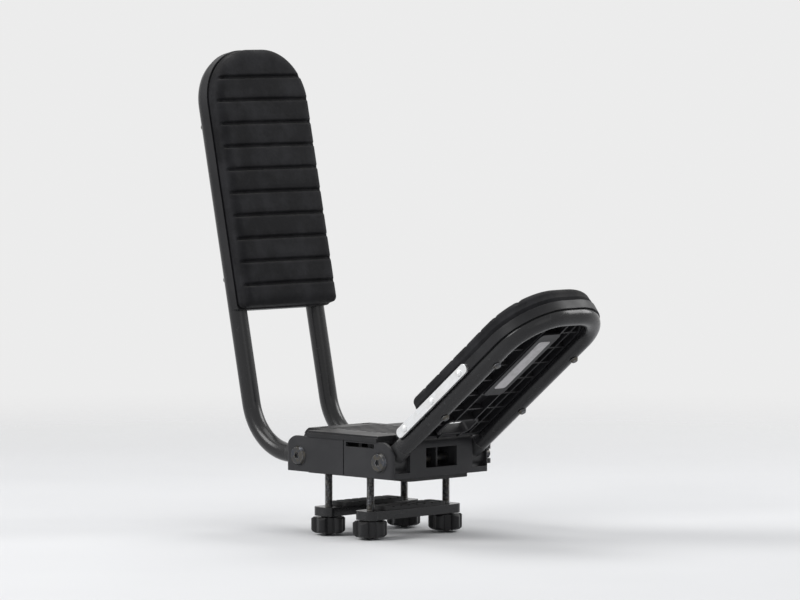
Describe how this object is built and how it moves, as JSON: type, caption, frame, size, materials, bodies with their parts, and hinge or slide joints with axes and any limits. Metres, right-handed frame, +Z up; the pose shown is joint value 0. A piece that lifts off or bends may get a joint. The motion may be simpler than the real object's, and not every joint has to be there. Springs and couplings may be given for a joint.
{
  "type": "j style kayak carrier",
  "caption": "Folding J-style kayak carrier: padded long and short arms hinged on a base that clamps on a roof crossbar.",
  "frame": {"origin": "centre of the seat face that rests on top of the roof crossbar", "axes": "+X along the crossbar towards the short arm, +Z up, the clamping levers on the +Y side"},
  "size_m": [0.4881, 0.1594, 0.4882],
  "materials": {
    "housing_plastic": "fine textured",
    "cover_plastic": "fine textured",
    "panel_plastic": "fine textured",
    "knob_plastic": "satin",
    "bush_plastic": "plain",
    "cast_black": "powder coat",
    "coated_steel": "gloss powder coat",
    "black_steel": "black zinc",
    "satin_aluminium": "satin anodised",
    "rubber": "matte",
    "pad_foam": "closed-cell foam skin",
    "grey_strip": "plain"
  },
  "bodies": {
    "base": {"base_housing": "housing_plastic", "top_cover": "cover_plastic", "cover_screws": "black_steel", "seat_pad": "rubber", "clamp_bar_left": "coated_steel", "clamp_bar_right": "coated_steel", "clamp_liner_left": "rubber", "clamp_liner_right": "rubber", "clamp_bolts": "black_steel", "clamp_washers": "black_steel", "clamp_knobs": "knob_plastic", "long_arm_pin": "black_steel", "short_arm_pin": "black_steel", "lever_washers": "black_steel", "lever_pins": "black_steel"},
    "long_arm": {"long_arm_tube": "coated_steel", "long_arm_knuckles": "cast_black", "long_arm_bushes": "bush_plastic", "long_arm_panel": "panel_plastic", "long_arm_screws": "black_steel", "long_arm_pad": "pad_foam"},
    "short_arm": {"short_arm_tube": "coated_steel", "short_arm_knuckles": "cast_black", "short_arm_bushes": "bush_plastic", "short_arm_panel": "panel_plastic", "short_arm_screws": "black_steel", "short_arm_pad": "pad_foam", "side_plate_front": "satin_aluminium", "side_plate_rear": "satin_aluminium", "side_plate_rivets": "satin_aluminium", "plain_strip": "grey_strip"},
    "long_lever": {"long_arm_lever": "knob_plastic"},
    "short_lever": {"short_arm_lever": "knob_plastic"}
  },
  "joints": [
    {"name": "long_arm_fold", "type": "hinge", "parent": "base", "child": "long_arm", "pos_m": [-0.058, 0, 0.02], "axis": [0, 1, 0], "range_deg": [0, 78]},
    {"name": "short_arm_fold", "type": "hinge", "parent": "base", "child": "short_arm", "pos_m": [0.058, 0, 0.02], "axis": [0, 1, 0], "range_deg": [0, 38]},
    {"name": "long_arm_lever_turn", "type": "hinge", "parent": "base", "child": "long_lever", "pos_m": [-0.058, 0.08, 0.02], "axis": [0, 0, 1], "range_deg": [0, 100]},
    {"name": "short_arm_lever_turn", "type": "hinge", "parent": "base", "child": "short_lever", "pos_m": [0.058, 0.08, 0.02], "axis": [0, 0, -1], "range_deg": [0, 100]}
  ]
}
